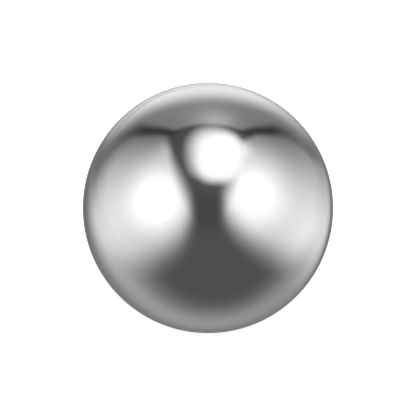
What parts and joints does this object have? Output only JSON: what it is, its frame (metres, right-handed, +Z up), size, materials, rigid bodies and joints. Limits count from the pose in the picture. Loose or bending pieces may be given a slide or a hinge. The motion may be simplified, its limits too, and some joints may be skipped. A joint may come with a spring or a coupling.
{
  "type": "steel ball",
  "caption": "Solid steel sphere with a mirror polish, used loose as a rolling element, weight or desk ball.",
  "frame": {"origin": "centre of the ball", "axes": "+Z up, -Y towards the viewer; the ball is the same along every axis"},
  "size_m": [0.0254, 0.0254, 0.0254],
  "materials": {
    "polished_steel": "mirror polished bare steel"
  },
  "bodies": {
    "root": {"ball": "polished_steel"}
  },
  "joints": []
}
